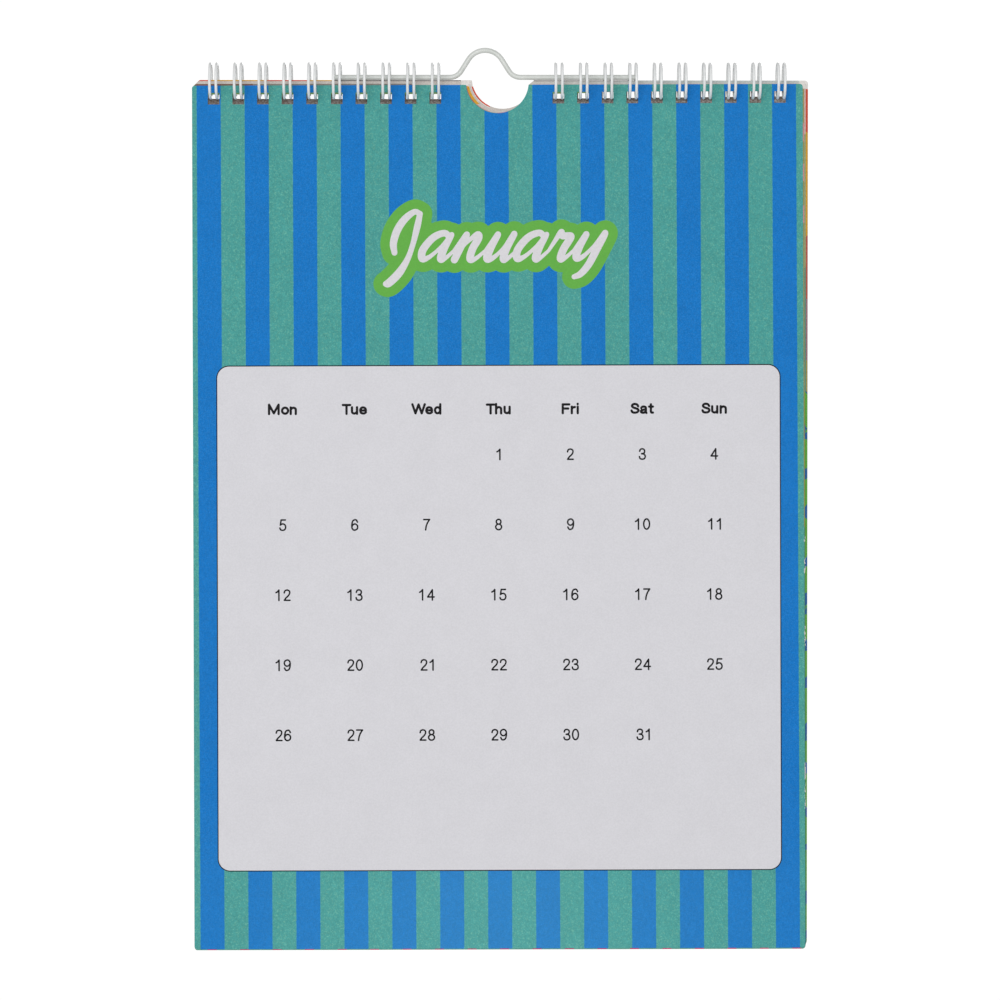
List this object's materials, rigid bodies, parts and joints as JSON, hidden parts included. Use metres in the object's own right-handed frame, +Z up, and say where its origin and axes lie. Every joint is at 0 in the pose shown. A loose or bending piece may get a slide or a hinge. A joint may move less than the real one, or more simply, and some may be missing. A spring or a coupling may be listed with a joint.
{
  "type": "wire-bound wall calendar",
  "caption": "Wire-bound wall calendar of upright leaves with punched top edge, thumb cut and a wire hanger; the front leaf turns over the rings.",
  "frame": {"origin": "where a nail carries the calendar: the inside of the top of the hanger's hump", "axes": "+Z up, +X to the right as seen from the front, +Y back to the wall, so the printed front faces -Y"},
  "size_m": [0.212, 0.0127, 0.3103],
  "materials": {
    "hanger_coat": "satin white coat on steel wire",
    "binding_coat": "satin white coat on steel wire",
    "front_paper": "printed matt paper",
    "leaf_paper": "printed matt paper",
    "cover_card": "printed card"
  },
  "bodies": {
    "hanger": {"hanger_wire": "hanger_coat"},
    "bound_pad": {"binding_wire_left": "binding_coat", "binding_wire_right": "binding_coat", "later_leaves": "leaf_paper", "rear_cover": "cover_card"},
    "turning_leaf": {"front_leaf": "front_paper"}
  },
  "joints": [
    {"name": "pad_swing", "type": "hinge", "parent": "hanger", "child": "bound_pad", "pos_m": [0, 0, -0.00843], "axis": [1, 0, 0], "range_deg": [-120, 90]},
    {"name": "leaf_turn", "type": "hinge", "parent": "bound_pad", "child": "turning_leaf", "pos_m": [0, -0.0041, -0.01007], "axis": [-1, 0, 0], "range_deg": [0, 195]}
  ]
}
